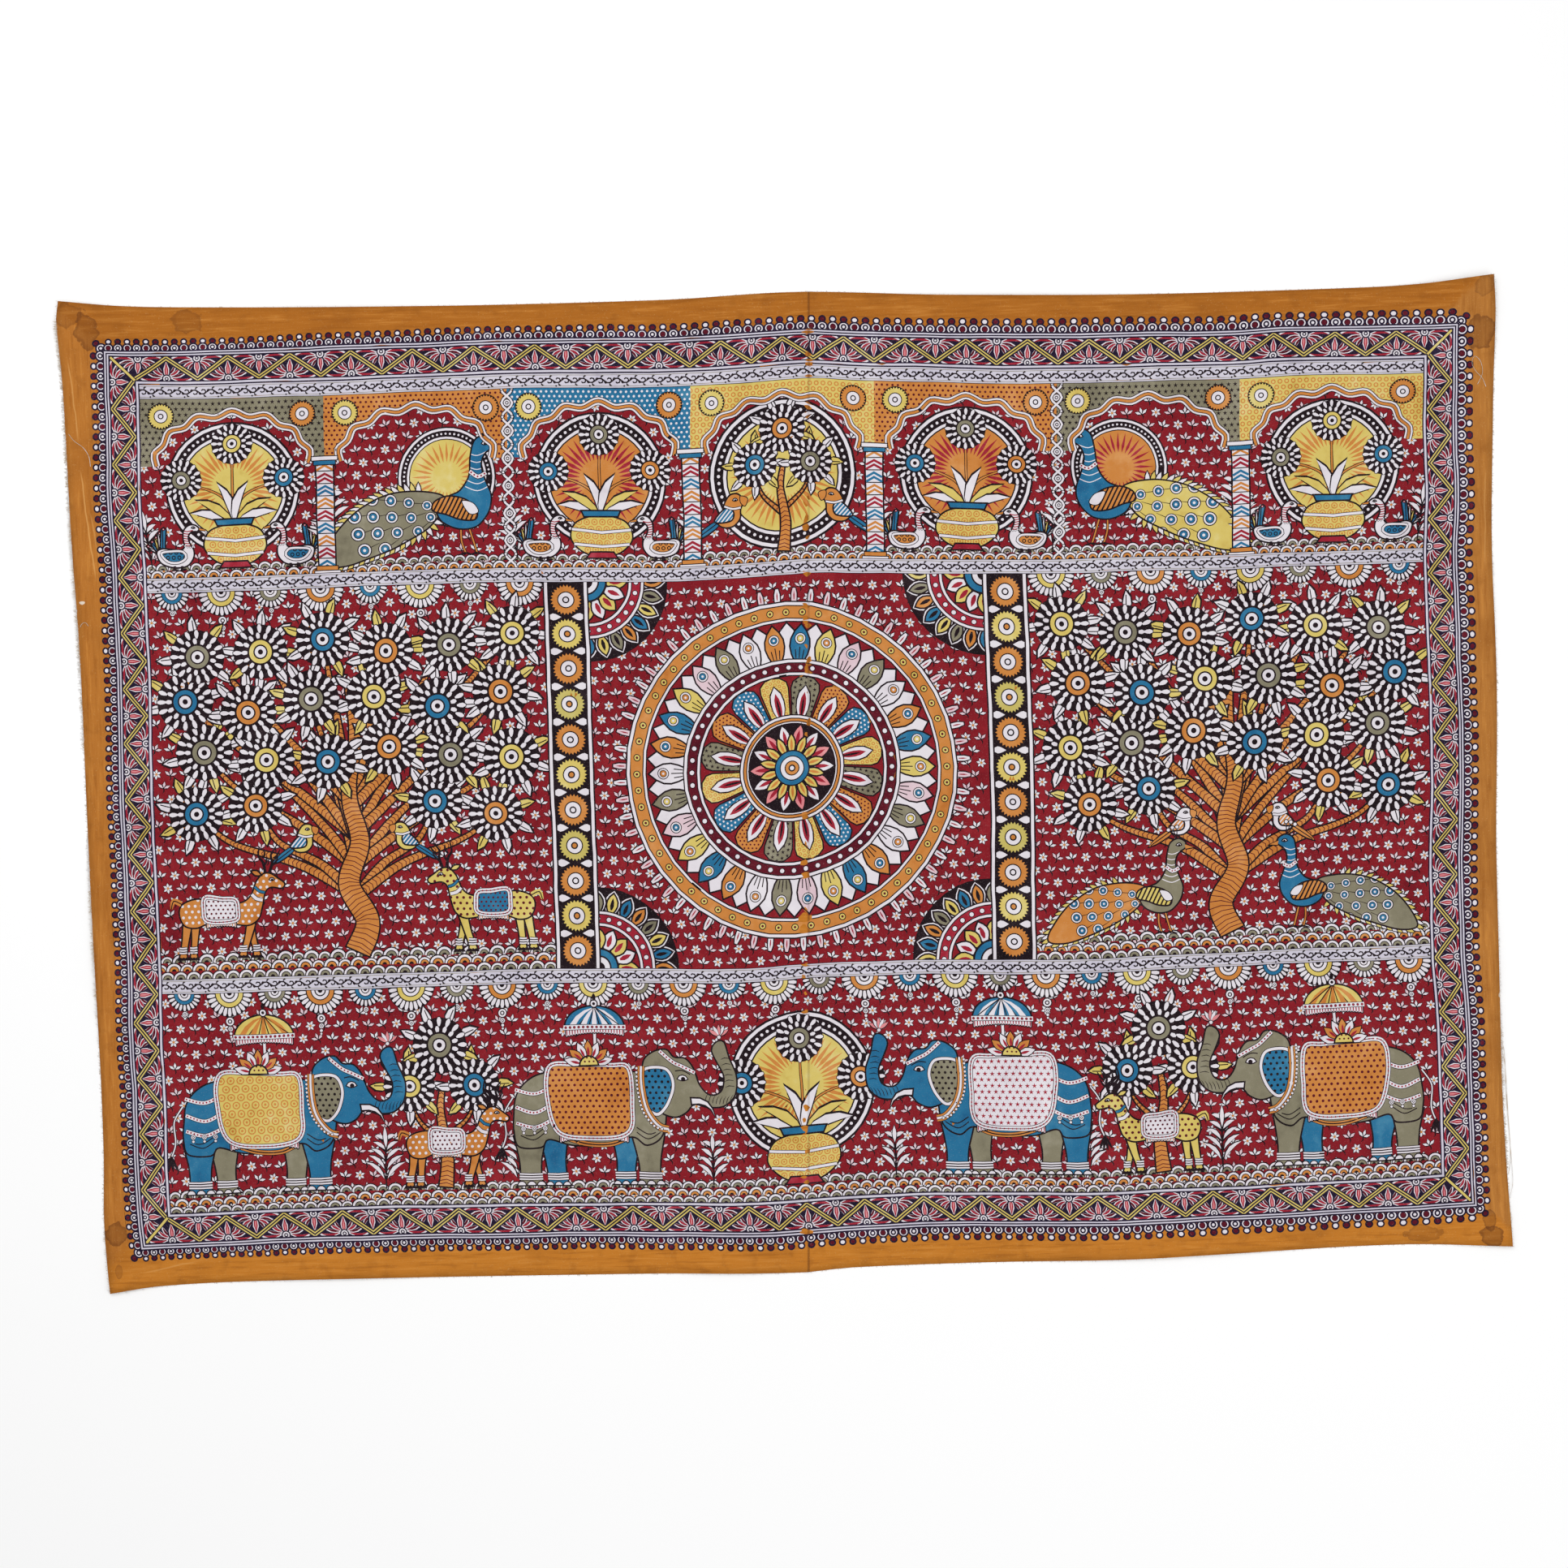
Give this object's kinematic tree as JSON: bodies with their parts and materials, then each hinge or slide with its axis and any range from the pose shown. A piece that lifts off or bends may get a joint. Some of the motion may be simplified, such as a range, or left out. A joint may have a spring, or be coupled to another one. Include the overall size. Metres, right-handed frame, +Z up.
{
  "type": "kalamkari panel",
  "caption": "Oblong raw-edged cotton panel lying flat, face up, with a painted border and pictorial field; it hangs on a wall or covers a table.",
  "frame": {"origin": "under the middle of the sheet's box, on the surface that it lies on", "axes": "+X along the width, left to right seen from above; +Y towards the top edge of the picture; +Z up, out of the painted face"},
  "size_m": [1.6414, 1.1353, 0.0084],
  "materials": {
    "cotton": "matt vegetable-dyed cotton, ochre margin, madder field"
  },
  "bodies": {
    "root": {"cloth": "cotton"}
  },
  "joints": []
}
